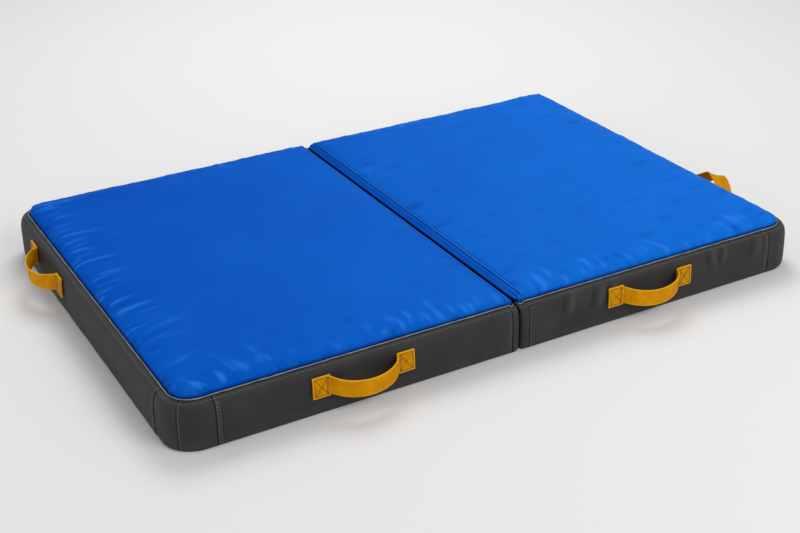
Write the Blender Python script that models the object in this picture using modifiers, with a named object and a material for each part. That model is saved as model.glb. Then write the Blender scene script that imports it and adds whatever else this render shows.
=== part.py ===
"""Two-panel folding bouldering crash pad.

Each panel is a block of three foam layers in a sewn cover: a crowned landing face, bellied walls that
are joined at vertical lap seams, a flat base, and a welt round the top seam. A strip of the landing
fabric bridges the groove between the panels and is the hinge. Four webbing grab handles are sewn to
the walls, each on two square patches.

Metres, +Z up, +X along the open pad, the front wall at -Y. The origin is on the floor, under the
middle of the open pad's box with its handles.
"""

import math

import bmesh
import bpy
from mathutils import Vector

# The open pad
PAD_LENGTH = 1.50
PAD_DEPTH = 1.00
SEAM_HEIGHT = 0.102
CROWN = 0.022
CROWN_RUN = 0.12
BELLY = 0.022
HINGE_BELLY = 0.004
SEAM_GAP = 0.012
FOLD_CLEARANCE = 0.001

# The plan of a panel at its top seam
CORNER_RADIUS = 0.045
CORNER_SEAM = 0.066
HINGE_CORNER_RADIUS = 0.007
HINGE_SEAM = 0.016
TIGHTEST_RADIUS_SHARE = 0.3
FRONT_STEPS = 2
END_STEPS = 3
CORNER_STEPS = 6
HINGE_CORNER_STEPS = 4

# Skins and seams
WALL_THICKNESS = 0.002
COVER_THICKNESS = 0.002
BASE_THICKNESS = 0.003
WELT_RADIUS = 0.0025
SEAT = 0.0003

# The foam, upwards from the base; the landing sheet fills what is left under the crown
BASE_SHEET = 0.012
FOAM_CORE = 0.070
FOAM_INSET = 0.0016

# The hinge strip, measured from its sewn edges at the welts
STRIP_THICKNESS = 0.001
STRIP_FOLD_DEPTH = 0.0235
STRIP_FOLD_CLEARANCE = 0.0008
STRIP_STEPS = 4

# A handle, measured along and out from the wall that it is sewn to. Its place along the wall is a
# share of the pad's whole length or depth, from the middle.
HANDLE_SPAN = 0.145
HANDLE_REACH = 0.042
HANDLE_PIVOT_OUT = 0.015
HANDLE_STEPS = 12
STRAP_WIDTH = 0.038
STRAP_THICKNESS = 0.0025
STRAP_RUN = 0.016
STRAP_END_STEPS = 5
PATCH_WIDTH = 0.037
PATCH_HEIGHT = 0.047
PATCH_THICKNESS = 0.003
PATCH_ROUND = 0.001
TAB_MARGIN = 0.005
FRONT_LEFT_HANDLE_SHARE = -0.241
FRONT_RIGHT_HANDLE_SHARE = 0.217
LEFT_HANDLE_SHARE = 0.235
RIGHT_HANDLE_SHARE = -0.190
HANDLE_HEIGHT_SHARE = 0.61
DROOP_ANGLE = math.radians(10)
RAISED_ANGLE = math.radians(30)

# Shares of a wall's height and of BELLY, from the floor up to the welt
WALL_SHAPE_SHARES = (
    (0.00, 0.80),
    (0.04, 0.93),
    (0.12, 1.00),
    (0.45, 1.00),
    (0.70, 0.95),
    (0.85, 0.78),
    (0.93, 0.55),
    (1.00, 0.12),
)

# Shares of STRIP_FOLD_DEPTH at which the hinge strip follows the walls beside it
STRIP_DEPTH_SHARES = (0.35, 0.70, 1.00)

# Shares of CROWN_RUN inwards from the cover's edge, and of CROWN upwards
COVER_SHAPE_SHARES = (
    (0.00, 0.00),
    (0.04, 0.38),
    (0.10, 0.62),
    (0.22, 0.80),
    (0.50, 0.94),
    (1.00, 1.00),
)

# Worked out from the sizes above
PANEL_NEAR = SEAM_GAP / 2
PANEL_FAR = PAD_LENGTH / 2 - BELLY
PANEL_HALF_DEPTH = PAD_DEPTH / 2 - BELLY
WALL_TOP = SEAM_HEIGHT - WELT_RADIUS - SEAT
COVER_EDGE = WELT_RADIUS + SEAT
HINGE_HEIGHT = SEAM_HEIGHT + CROWN + FOLD_CLEARANCE
HANDLE_HEIGHT = HANDLE_HEIGHT_SHARE * SEAM_HEIGHT
STRAP_FACE_OUT = SEAT + STRAP_THICKNESS
LOOP_HALF_SPAN = HANDLE_SPAN / 2 - STRAP_RUN
LOOP_RISE = HANDLE_REACH - HANDLE_PIVOT_OUT
LOOP_END_ANGLE = 2 * math.atan2(LOOP_RISE, LOOP_HALF_SPAN)

# How far the handles stand out from the walls, which sets the middle of the pad's box
LOOP_CREST = HANDLE_REACH - HANDLE_PIVOT_OUT + STRAP_THICKNESS / 2
DROOPED_REACH = (
    HANDLE_PIVOT_OUT + LOOP_CREST * math.cos(DROOP_ANGLE) + STRAP_WIDTH / 2 * math.sin(DROOP_ANGLE)
)
RAISED_REACH = (
    HANDLE_PIVOT_OUT + LOOP_CREST * math.cos(RAISED_ANGLE) + STRAP_WIDTH / 2 * math.sin(RAISED_ANGLE)
)
PAD_SHIFT = Vector(((DROOPED_REACH - RAISED_REACH) / 2, DROOPED_REACH / 2, 0))

# Colours and roughness
FINISHES = {
    "landing_fabric": ((0.010, 0.130, 0.560), 0.55),
    "wall_fabric": ((0.035, 0.037, 0.040), 0.60),
    "base_fabric": ((0.012, 0.012, 0.013), 0.55),
    "welt": ((0.270, 0.290, 0.320), 0.60),
    "webbing": ((0.620, 0.270, 0.015), 0.50),
    "closed_cell_foam": ((0.050, 0.050, 0.055), 0.90),
    "open_cell_foam": ((0.760, 0.720, 0.560), 0.95),
}


def clear_scene():
    for obj in list(bpy.data.objects):
        bpy.data.objects.remove(obj, do_unlink=True)


def finish(name):
    found = bpy.data.materials.get(name)
    if found:
        return found
    color, roughness = FINISHES[name]
    made = bpy.data.materials.new(name)
    made.use_nodes = True
    shader = made.node_tree.nodes["Principled BSDF"]
    shader.inputs["Base Color"].default_value = (*color, 1)
    shader.inputs["Roughness"].default_value = roughness
    shader.inputs["Metallic"].default_value = 0
    return made


def collection(name):
    made = bpy.data.collections.new(name)
    bpy.context.scene.collection.children.link(made)
    return made


def frame(parts, name, location, parent=None):
    """An empty that carries the pieces of one body. The right panel's lies on the fold axis."""
    empty = bpy.data.objects.new(name, None)
    empty.parent = parent
    empty.location = location
    parts.objects.link(empty)
    return empty


def add(parts, name, data, finish_name, carrier, place=(0, 0, 0), turn=(0, 0, 0)):
    """Put a mesh or curve on its carrier. Places are the pad's, with x = 0 in the fold."""
    obj = bpy.data.objects.new(name, data)
    obj.data.materials.append(finish(finish_name))
    obj.parent = carrier
    obj.location = Vector(place) - carrier.location
    obj.rotation_euler = turn
    parts.objects.link(obj)
    return obj


# Plan shapes


def line(start, end, steps):
    """Points from start to end, without the end."""
    return [
        (
            start[0] + (end[0] - start[0]) * i / steps,
            start[1] + (end[1] - start[1]) * i / steps,
        )
        for i in range(steps)
    ]


def arc(centre, radius, start, steps):
    """Points of a quarter circle, anticlockwise from the start angle, with both ends."""
    angles = [start + math.pi / 2 * i / steps for i in range(steps + 1)]
    return [(centre[0] + radius * math.cos(a), centre[1] + radius * math.sin(a)) for a in angles]


def mirrored(points):
    return [(x, -y) for x, y in reversed(points)]


def sections(swell_share=0, inset=0):
    """The right panel's plan as the runs of its wall pieces, anticlockwise from the front.

    It is the plan of the top seam, swollen by a share of the belly and then moved inwards by inset.
    Each run has both of its ends. The hinge side swells less, because the two panels meet there.
    """
    out = BELLY * swell_share - inset
    hinge_out = HINGE_BELLY * swell_share - inset
    radius = max(CORNER_RADIUS + out, CORNER_RADIUS * TIGHTEST_RADIUS_SHARE)
    hinge_radius = max(HINGE_CORNER_RADIUS + hinge_out, HINGE_CORNER_RADIUS * TIGHTEST_RADIUS_SHARE)
    near = PANEL_NEAR - hinge_out
    far = PANEL_FAR + out
    half = PANEL_HALF_DEPTH + out
    corner_run = radius + CORNER_SEAM - CORNER_RADIUS
    hinge_run = hinge_radius + HINGE_SEAM - HINGE_CORNER_RADIUS

    hinge_seam = (near + hinge_run, -half)
    front_seam = (far - corner_run, -half)
    end_seam = (far, corner_run - half)

    front = line(hinge_seam, front_seam, FRONT_STEPS) + [front_seam]
    corner = arc((far - radius, radius - half), radius, -math.pi / 2, CORNER_STEPS)
    corner = [front_seam, *corner, end_seam]
    end = line(end_seam, (far, -end_seam[1]), END_STEPS) + [(far, -end_seam[1])]
    turn = arc((near + hinge_radius, hinge_radius - half), hinge_radius, math.pi, HINGE_CORNER_STEPS)
    turn = [*turn, hinge_seam]
    back_turn = mirrored(turn)
    hinge = back_turn[:-1] + line(back_turn[-1], turn[0], END_STEPS) + turn
    return {
        "front_wall": front,
        "front_corner": corner,
        "end_wall": end,
        "back_corner": mirrored(corner),
        "back_wall": mirrored(front),
        "hinge_wall": hinge,
    }


def ring(swell_share=0, inset=0):
    """The whole plan as one closed run of points."""
    return [point for run in sections(swell_share, inset).values() for point in run[:-1]]


def trimmed(run):
    """A wall piece stops half a seat short of each lap seam."""
    points = [Vector(p) for p in run]
    first = (points[1] - points[0]).normalized() * SEAT / 2
    last = (points[-2] - points[-1]).normalized() * SEAT / 2
    return [points[0] + first, *points[1:-1], points[-1] + last]


def swell_at(height):
    """The share of the belly by which a wall stands out from the top seam, at a height."""
    share = min(max(height / WALL_TOP, 0), 1)
    for (low, low_swell), (high, high_swell) in zip(WALL_SHAPE_SHARES, WALL_SHAPE_SHARES[1:]):
        if share <= high:
            break
    return low_swell + (high_swell - low_swell) * (share - low) / (high - low)


# Solids of a panel


def skin(rows, closed, caps=()):
    """Rows of points joined by quads into a surface that faces outwards, with caps on the rows named."""
    bm = bmesh.new()
    made = [[bm.verts.new(point) for point in row] for row in rows]
    for low, high in zip(made, made[1:]):
        count = len(low)
        for i in range(count if closed else count - 1):
            j = (i + 1) % count
            bm.faces.new((low[i], low[j], high[j], high[i]))
    if "bottom" in caps:
        bm.faces.new(reversed(made[0]))
    if "top" in caps:
        bm.faces.new(made[-1])
    return bm


def panel_mesh(name, bm, side):
    """A mesh of the right panel, or its mirror image for the left one."""
    if side < 0:
        bmesh.ops.scale(bm, vec=(-1, 1, 1), verts=bm.verts)
        bmesh.ops.reverse_faces(bm, faces=bm.faces)
    mesh = bpy.data.meshes.new(name)
    bm.to_mesh(mesh)
    bm.free()
    mesh.shade_smooth()
    return mesh


def thicken(obj, thickness, offset=-1):
    solid = obj.modifiers.new("thickness", "SOLIDIFY")
    solid.thickness = thickness
    solid.offset = offset
    solid.use_even_offset = True


def wall_piece(parts, name, run_name, side, carrier):
    rows = []
    for share, swell_share in WALL_SHAPE_SHARES:
        height = share * WALL_TOP
        run = trimmed(sections(swell_share)[run_name])
        rows.append([(p.x, p.y, height) for p in run])
    mesh = panel_mesh(name, skin(rows, closed=False), side)
    thicken(add(parts, name, mesh, "wall_fabric", carrier), WALL_THICKNESS)


def cover_rings():
    """Inset from the seam and height of each ring of the landing cover, from its edge inwards."""
    return [
        (COVER_EDGE + run * CROWN_RUN, SEAM_HEIGHT + rise * CROWN)
        for run, rise in COVER_SHAPE_SHARES
    ]


def landing_cover(parts, name, side, carrier):
    rows = [[(x, y, height) for x, y in ring(inset=inset)] for inset, height in cover_rings()]
    mesh = panel_mesh(name, skin(rows, closed=True, caps=("top",)), side)
    thicken(add(parts, name, mesh, "landing_fabric", carrier), COVER_THICKNESS)


def foam_rows(low, high):
    """Rings up a foam layer's side, which follow the inside of the wall."""
    knots = [share * WALL_TOP for share, _ in WALL_SHAPE_SHARES]
    heights = [low, *[h for h in knots if low < h < high], high]
    inset = WALL_THICKNESS + FOAM_INSET
    return [[(x, y, height) for x, y in ring(swell_at(height), inset)] for height in heights]


def foam_layer(parts, name, rows, finish_name, side, carrier):
    mesh = panel_mesh(name, skin(rows, closed=True, caps=("bottom", "top")), side)
    add(parts, name, mesh, finish_name, carrier)


def foam_block(parts, label, side, carrier):
    """A stiff base sheet, a soft core, and a stiff landing sheet that fills the crown."""
    base_low = BASE_THICKNESS + SEAT
    core_low = base_low + BASE_SHEET + SEAT
    sheet_low = core_low + FOAM_CORE + SEAT
    base = foam_rows(base_low, base_low + BASE_SHEET)
    core = foam_rows(core_low, core_low + FOAM_CORE)
    under = COVER_THICKNESS + SEAT
    crown = [
        [(x, y, height - under) for x, y in ring(inset=inset + under)]
        for inset, height in cover_rings()
    ]
    sheet_side = foam_rows(sheet_low, SEAM_HEIGHT - under - FOAM_INSET - WALL_THICKNESS)
    foam_layer(parts, f"{label}_base_foam_sheet", base, "closed_cell_foam", side, carrier)
    foam_layer(parts, f"{label}_foam_core", core, "open_cell_foam", side, carrier)
    foam_layer(
        parts, f"{label}_landing_foam_sheet", sheet_side + crown, "closed_cell_foam", side, carrier
    )


def flat_curve(name, points, thickness):
    """A filled outline in its own XY plane, extruded to both sides of it."""
    curve = bpy.data.curves.new(name, "CURVE")
    curve.dimensions = "2D"
    curve.fill_mode = "BOTH"
    curve.extrude = thickness / 2
    spline = curve.splines.new("POLY")
    spline.points.add(len(points) - 1)
    for target, (x, y) in zip(spline.points, points):
        target.co = (x, y, 0, 1)
    spline.use_cyclic_u = True
    return curve


def base_panel(parts, name, side, carrier):
    inset = WALL_THICKNESS + SEAT
    points = [(side * x, y) for x, y in ring(swell_at(0), inset)]
    curve = flat_curve(name, points, BASE_THICKNESS)
    add(parts, name, curve, "base_fabric", carrier, (0, 0, BASE_THICKNESS / 2))


def welt(parts, name, side, carrier):
    curve = bpy.data.curves.new(name, "CURVE")
    curve.dimensions = "3D"
    curve.bevel_depth = WELT_RADIUS
    curve.bevel_resolution = 1
    points = ring()
    spline = curve.splines.new("POLY")
    spline.points.add(len(points) - 1)
    for target, (x, y) in zip(spline.points, points):
        target.co = (side * x, y, SEAM_HEIGHT, 1)
    spline.use_cyclic_u = True
    add(parts, name, curve, "welt", carrier)


def panel(parts, label, side, carrier):
    foam_block(parts, label, side, carrier)
    base_panel(parts, f"{label}_base_cover", side, carrier)
    landing_cover(parts, f"{label}_landing_cover", side, carrier)
    welt(parts, f"{label}_top_welt", side, carrier)
    for run_name in sections():
        wall_piece(parts, f"{label}_{run_name}", run_name, side, carrier)


def hinge_strip(parts, carrier):
    """Landing fabric sewn to both welts, with its slack tucked down between the hinge walls."""
    half = [(PANEL_NEAR - WELT_RADIUS - SEAT - STRIP_THICKNESS / 2, SEAM_HEIGHT)]
    for share in STRIP_DEPTH_SHARES:
        height = SEAM_HEIGHT - share * STRIP_FOLD_DEPTH
        wall = PANEL_NEAR - HINGE_BELLY * swell_at(height)
        half.append((wall - STRIP_THICKNESS - STRIP_FOLD_CLEARANCE, height))
    path = [(-x, z) for x, z in half] + half[::-1]
    reach = PANEL_HALF_DEPTH - HINGE_CORNER_RADIUS / 2
    rows = [
        [(x, reach - 2 * reach * i / STRIP_STEPS, z) for i in range(STRIP_STEPS + 1)]
        for x, z in path
    ]
    mesh = panel_mesh("hinge_strip", skin(rows, closed=False), 1)
    thicken(add(parts, "hinge_strip", mesh, "landing_fabric", carrier), STRIP_THICKNESS, offset=0)


# Handles


def loop_path():
    """The strap's middle line as seen from above: an arc from the pivot line out and back to it."""
    radius = LOOP_HALF_SPAN / math.sin(LOOP_END_ANGLE)
    angles = [LOOP_END_ANGLE * (1 - 2 * i / HANDLE_STEPS) for i in range(HANDLE_STEPS + 1)]
    sink = radius * math.cos(LOOP_END_ANGLE)
    return [Vector((radius * math.sin(a), radius * math.cos(a) - sink)) for a in angles]


def loop_outline():
    """The strap's outline as seen from above, cut square to its middle line at both ends."""
    path = loop_path()
    centre = Vector((0, LOOP_RISE - LOOP_HALF_SPAN / math.sin(LOOP_END_ANGLE)))
    half = STRAP_THICKNESS / 2
    outside = [point + (point - centre).normalized() * half for point in path]
    inside = [point - (point - centre).normalized() * half for point in path]
    return [tuple(point) for point in outside + inside[::-1]]


def strap_loop(parts, name, carrier, pivot, turn, raised):
    curve = flat_curve(name, loop_outline(), STRAP_WIDTH)
    obj = add(parts, name, curve, "webbing", carrier, pivot)
    obj.rotation_mode = "XYZ"
    obj.rotation_euler = (raised, 0, turn)


def strap_end(parts, name, carrier, wall_point, turn, raised, hand):
    """The sewn end: a flat tab under the patch, and the curve that leads out to the pivot line.

    Its sections turn from the wall's attitude to the loop's. Hand is the end's side along the wall.
    """
    leaving = Vector((-math.cos(LOOP_END_ANGLE), math.sin(LOOP_END_ANGLE)))
    flat = Vector((-1, 0))
    seam = Vector((HANDLE_SPAN / 2, SEAT + STRAP_THICKNESS / 2))
    pivot = Vector((LOOP_HALF_SPAN, HANDLE_PIVOT_OUT)) - leaving * SEAT
    pull = (pivot - seam).length
    stations = [(seam - flat * (PATCH_WIDTH - TAB_MARGIN), flat, 0)]
    for i in range(STRAP_END_STEPS + 1):
        t = i / STRAP_END_STEPS
        blend = t * t * (3 - 2 * t)
        place = seam.lerp(pivot, blend) + (flat * (1 - t) - leaving * t) * pull * t * (1 - t)
        speed = (pivot - seam) * 6 * t * (1 - t)
        speed += (flat * (1 - t) * (1 - 3 * t) + leaving * t * (3 * t - 2)) * pull
        stations.append((place, speed.normalized(), raised * blend))
    rows = []
    for place, heading, lift in stations:
        row = []
        for face, edge in ((-1, -1), (1, -1), (1, 1), (-1, 1)):
            x = place.x + heading.y * face * STRAP_THICKNESS / 2
            y = place.y - heading.x * face * STRAP_THICKNESS / 2 - HANDLE_PIVOT_OUT
            z = edge * STRAP_WIDTH / 2
            lifted = y * math.cos(lift) - z * math.sin(lift)
            raised_z = y * math.sin(lift) + z * math.cos(lift)
            row.append((hand * x, lifted + HANDLE_PIVOT_OUT, raised_z))
        rows.append(row)
    bm = skin(rows, closed=True, caps=("bottom", "top"))
    bmesh.ops.recalc_face_normals(bm, faces=bm.faces)
    mesh = bpy.data.meshes.new(name)
    bm.to_mesh(mesh)
    bm.free()
    add(parts, name, mesh, "webbing", carrier, wall_point, (0, 0, turn))


def patch(parts, name, carrier, wall_point, turn, hand):
    bm = bmesh.new()
    bmesh.ops.create_cube(bm, size=1)
    bmesh.ops.scale(bm, vec=(PATCH_WIDTH, PATCH_THICKNESS, PATCH_HEIGHT), verts=bm.verts)
    along = hand * (HANDLE_SPAN + PATCH_WIDTH) / 2
    out = STRAP_FACE_OUT + SEAT + PATCH_THICKNESS / 2
    bmesh.ops.translate(bm, vec=(along, out, 0), verts=bm.verts)
    mesh = bpy.data.meshes.new(name)
    bm.to_mesh(mesh)
    bm.free()
    obj = add(parts, name, mesh, "webbing", carrier, wall_point, (0, 0, turn))
    rounding = obj.modifiers.new("rounding", "BEVEL")
    rounding.width = PATCH_ROUND
    rounding.segments = 1


def handle(parts, label, carrier, wall_point, outward, ends, raised):
    """A grab handle on a wall. Outward is the wall's direction, and ends names its two hands,
    the one to the left first as the wall is seen from outside.
    """
    turn = math.atan2(-outward[0], outward[1])
    pivot = Vector(wall_point) + Vector((*outward, 0)) * HANDLE_PIVOT_OUT
    strap_loop(parts, f"{label}_handle_loop", carrier, pivot, turn, raised)
    for end, hand in zip(ends, (1, -1)):
        strap_end(parts, f"{label}_handle_{end}_strap_end", carrier, wall_point, turn, raised, hand)
        patch(parts, f"{label}_handle_{end}_patch", carrier, wall_point, turn, hand)


def handles(parts, left, right):
    front = -PAD_DEPTH / 2
    end = PAD_LENGTH / 2
    front_left, front_right = (
        share * PAD_LENGTH for share in (FRONT_LEFT_HANDLE_SHARE, FRONT_RIGHT_HANDLE_SHARE)
    )
    left_end, right_end = (share * PAD_DEPTH for share in (LEFT_HANDLE_SHARE, RIGHT_HANDLE_SHARE))
    places = (
        ("front_left", left, (front_left, front), (0, -1), ("left", "right"), -DROOP_ANGLE),
        ("front_right", right, (front_right, front), (0, -1), ("left", "right"), -DROOP_ANGLE),
        ("left_end", left, (-end, left_end), (-1, 0), ("back", "front"), -DROOP_ANGLE),
        ("right_end", right, (end, right_end), (1, 0), ("front", "back"), RAISED_ANGLE),
    )
    for label, carrier, (x, y), outward, ends, raised in places:
        handle(parts, label, carrier, (x, y, HANDLE_HEIGHT), outward, ends, raised)


def build():
    clear_scene()
    parts = collection("bouldering_crash_pad")
    pad = frame(parts, "pad", PAD_SHIFT)
    left = frame(parts, "left_panel", (0, 0, 0), pad)
    right = frame(parts, "right_panel_on_fold_axis", (0, 0, HINGE_HEIGHT), pad)
    panel(parts, "left", -1, left)
    panel(parts, "right", 1, right)
    hinge_strip(parts, left)
    handles(parts, left, right)


build()
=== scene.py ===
"""A two-panel folding bouldering crash pad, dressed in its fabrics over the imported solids.

Metres, +Z up, +X along the open pad, the front wall at -Y. The sections follow the pad as it is put
together: the room, the foam, the base, the walls, the landing faces, the bindings, the hinge strip,
the stitching and the handles.
"""

import math

import bpy
import numpy as np
from mathutils import Matrix, Vector


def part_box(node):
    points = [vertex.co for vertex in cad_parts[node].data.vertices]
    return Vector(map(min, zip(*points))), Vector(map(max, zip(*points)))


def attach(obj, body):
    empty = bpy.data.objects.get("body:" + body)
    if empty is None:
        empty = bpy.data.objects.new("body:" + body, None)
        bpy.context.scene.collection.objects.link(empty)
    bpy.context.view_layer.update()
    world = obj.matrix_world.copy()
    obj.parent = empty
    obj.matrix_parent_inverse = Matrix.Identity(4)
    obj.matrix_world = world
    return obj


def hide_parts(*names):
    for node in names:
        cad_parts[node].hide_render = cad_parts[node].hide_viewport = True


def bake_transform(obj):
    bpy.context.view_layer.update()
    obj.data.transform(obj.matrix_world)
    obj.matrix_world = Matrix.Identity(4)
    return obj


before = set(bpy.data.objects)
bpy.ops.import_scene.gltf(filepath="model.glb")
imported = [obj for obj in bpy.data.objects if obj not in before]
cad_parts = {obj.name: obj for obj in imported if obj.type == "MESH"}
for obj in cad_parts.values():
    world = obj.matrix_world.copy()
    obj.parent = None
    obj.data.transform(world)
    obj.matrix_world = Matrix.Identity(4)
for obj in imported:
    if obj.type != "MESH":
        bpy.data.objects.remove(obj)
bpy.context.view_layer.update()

# The room: a plain pale floor, a large soft lamp high behind the pad, one in front and a weaker one at
# the left end, and the camera, which looks down over the front left corner as the photograph does.

scene = bpy.context.scene
scene.view_settings.view_transform = "Standard"

# The middle of the groove, on the ground
face_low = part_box("left_landing_cover")[0]
face_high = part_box("right_landing_cover")[1]
MIDDLE = np.array([(face_low[0] + face_high[0]) / 2, (face_low[1] + face_high[1]) / 2, 0.0])

CAMERA_TARGET = (-0.0781, -0.1428, 0.0552)
CAMERA_AZIMUTH = math.radians(-29.43)
CAMERA_ELEVATION = math.radians(27.43)
CAMERA_ROLL = math.radians(-0.66)
CAMERA_DISTANCE = 2.978
CAMERA_LENS = 61.11

backwards = Vector(
    (
        math.sin(CAMERA_AZIMUTH) * math.cos(CAMERA_ELEVATION),
        -math.cos(CAMERA_AZIMUTH) * math.cos(CAMERA_ELEVATION),
        math.sin(CAMERA_ELEVATION),
    )
)
level = Vector((math.cos(CAMERA_AZIMUTH), math.sin(CAMERA_AZIMUTH), 0))
upright = backwards.cross(level)
across = math.cos(CAMERA_ROLL) * level + math.sin(CAMERA_ROLL) * upright
upwards = -math.sin(CAMERA_ROLL) * level + math.cos(CAMERA_ROLL) * upright
axes = Matrix((across, upwards, backwards)).transposed()
lens = bpy.data.cameras.new("camera")
lens.lens = CAMERA_LENS
lens.sensor_width = 36
lens.clip_end = 50
camera = bpy.data.objects.new("camera", lens)
stand = Vector(CAMERA_TARGET) + Vector(MIDDLE) + backwards * CAMERA_DISTANCE
camera.matrix_world = Matrix.Translation(stand) @ axes.to_4x4()
scene.collection.objects.link(camera)
scene.camera = camera


class Strand:
    """A socket of a finish. A sum written on it adds a Math node."""

    def __init__(self, finish, socket):
        self.finish = finish
        self.socket = socket

    def beside(self, output):
        """Another output of the same node."""
        return Strand(self.finish, self.socket.node.outputs[output])

    def maths(self, operation, *others):
        """A Math node that works on this value and others."""
        return self.finish.node("Math", {"operation": operation}, dict(enumerate((self, *others))))

    def most(self, other):
        """The larger of this value and another."""
        return self.maths("MAXIMUM", other)

    def __add__(self, other):
        return self.maths("ADD", other)

    def __sub__(self, other):
        return self.maths("SUBTRACT", other)

    def __rsub__(self, other):
        return self.finish.node("Math", {"operation": "SUBTRACT"}, {0: other, 1: self})

    def __mul__(self, other):
        return self.maths("MULTIPLY", other)

    __radd__ = __add__
    __rmul__ = __mul__


class Finish:
    """A procedural material of the pad, on a Principled shader."""

    def __init__(self, name, **shader_values):
        self.material = bpy.data.materials.new(name)
        self.material.use_nodes = True
        self.tree = self.material.node_tree
        self.shader = self.tree.nodes["Principled BSDF"]
        for key, value in shader_values.items():
            self.shader.inputs[key.replace("_", " ")].default_value = value

    def node(self, kind, settings=None, values=None, output=0):
        """Any node: its settings are set first, then its sockets get their values or links."""
        made = self.tree.nodes.new("ShaderNode" + kind)
        for key, value in (settings or {}).items():
            setattr(made, key, value)
        for key, value in (values or {}).items():
            if isinstance(value, Strand):
                self.tree.links.new(value.socket, made.inputs[key])
            else:
                made.inputs[key].default_value = value
        return Strand(self, made.outputs[output])

    def place(self):
        """Where a point of the piece is, in metres."""
        return self.node("TexCoord", output="Object")

    def chart(self, name):
        """The two parts of one of the piece's UV maps."""
        parts = self.node("SeparateXYZ", values={0: self.node("UVMap", {"uv_map": name})})
        return parts, parts.beside("Y")

    def mottle(self, size, detail=3.0):
        """Cloudy unevenness from 0 to 1, with clouds of about that size in metres."""
        values = {"Vector": self.place(), "Scale": 1 / size, "Detail": detail, "Roughness": 0.55}
        return self.node("TexNoise", values=values)

    def mixed(self, share, first, second):
        """The first colour where share is 0, and the second where it is 1."""
        first, second = ((*c, 1) if isinstance(c, tuple) else c for c in (first, second))
        return self.node("Mix", {"data_type": "RGBA"}, {0: share, 6: first, 7: second}, output=2)

    def between(self, value, low, high):
        """0 at low, 1 at high, smoothly."""
        values = {"Value": value, "From Min": low, "From Max": high}
        return self.node("MapRange", {"interpolation_type": "SMOOTHSTEP"}, values)

    def line(self, value, middle, width):
        """1 along a thin line where value is middle, and 0 a width away from it."""
        return 1 - self.between((value - middle).maths("ABSOLUTE"), width * 0.25, width)

    def woven(self, along, up, pitch):
        """The over and under of a plain weave, from -1 to 1."""
        turns = 2 * math.pi / pitch
        return (along * turns).maths("SINE") * (up * turns).maths("SINE")

    def wear(self, colour, roughness=None, height=None):
        """Colour, roughness and a height in metres go to the shader."""
        self.tree.links.new(colour.socket, self.shader.inputs["Base Color"])
        if roughness is not None:
            self.tree.links.new(roughness.socket, self.shader.inputs["Roughness"])
        if height is not None:
            bump = self.node("Bump", values={"Strength": 1.0, "Distance": 1.0, "Height": height})
            self.tree.links.new(bump.socket, self.shader.inputs["Normal"])
        return self.material


FLOOR_SIZE = 30.0
FLOOR_DROP = 0.0005
bpy.ops.object.select_all(action="DESELECT")
bpy.ops.mesh.primitive_plane_add(size=FLOOR_SIZE, location=(0, 0, -FLOOR_DROP))
floor = bpy.context.object
floor.name = "studio_floor"
paint = Finish("floor_paint", Roughness=0.9, Specular_IOR_Level=0.1)
pale = paint.mixed(paint.mottle(2.0, 1.0), (0.86, 0.86, 0.86), (0.88, 0.88, 0.88))
floor.data.materials.append(paint.wear(pale))

# The room lights the pad softly, and looks white to the camera and in what mirrors it
ROOM_LIGHT = 0.42
ROOM_SEEN = 1.0
world = bpy.data.worlds.new("room")
world.use_nodes = True
scene.world = world
nodes, links = world.node_tree.nodes, world.node_tree.links
nodes.clear()
paths = nodes.new("ShaderNodeLightPath")
seen = paths.outputs["Is Camera Ray"]
for rays in ("Is Glossy Ray", "Is Transmission Ray"):
    either = nodes.new("ShaderNodeMath")
    either.operation = "MAXIMUM"
    links.new(seen, either.inputs[0])
    links.new(paths.outputs[rays], either.inputs[1])
    seen = either.outputs[0]
mix = nodes.new("ShaderNodeMixShader")
links.new(seen, mix.inputs[0])
for number, strength in ((1, ROOM_LIGHT), (2, ROOM_SEEN)):
    glow = nodes.new("ShaderNodeBackground")
    glow.inputs["Color"].default_value = (1, 1, 1, 1)
    glow.inputs["Strength"].default_value = strength
    links.new(glow.outputs[0], mix.inputs[number])
links.new(mix.outputs[0], nodes.new("ShaderNodeOutputWorld").inputs["Surface"])


def lamp(name, place, size, power):
    """A square soft box that faces the middle of the pad."""
    light = bpy.data.lights.new(name, "AREA")
    light.shape = "SQUARE"
    light.size = size
    light.energy = power
    box = bpy.data.objects.new(name, light)
    box.location = place
    box.rotation_euler = Vector(place).to_track_quat("Z", "Y").to_euler()
    scene.collection.objects.link(box)


lamp("key_lamp", (0.9, 1.9, 3.0), 2.0, 56)
lamp("front_lamp", (0.9, -3.2, 2.3), 2.2, 52)
lamp("left_lamp", (-3.2, -0.6, 1.3), 1.6, 16)

# The foam: in each panel a stiff closed cell sheet at the base and one under the landing face, with a
# thick open cell core between them. The blocks are cut foam and keep their solids; only skin changes.


def foam_finish(name, light, dark, cell, depth):
    """Cut foam, with cells of about that size and depth in metres."""
    foam = Finish(name, Roughness=0.95, Specular_IOR_Level=0.2)
    cells = foam.node("TexVoronoi", {"feature": "F1"}, {"Vector": foam.place(), "Scale": 1 / cell})
    cloudy = foam.mottle(0.05)
    colour = foam.mixed(foam.between(cells, 0.15, 0.7) * (0.6 + 0.4 * cloudy), dark, light)
    return foam.wear(colour, 0.88 + 0.1 * cloudy, cells * depth)


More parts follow.
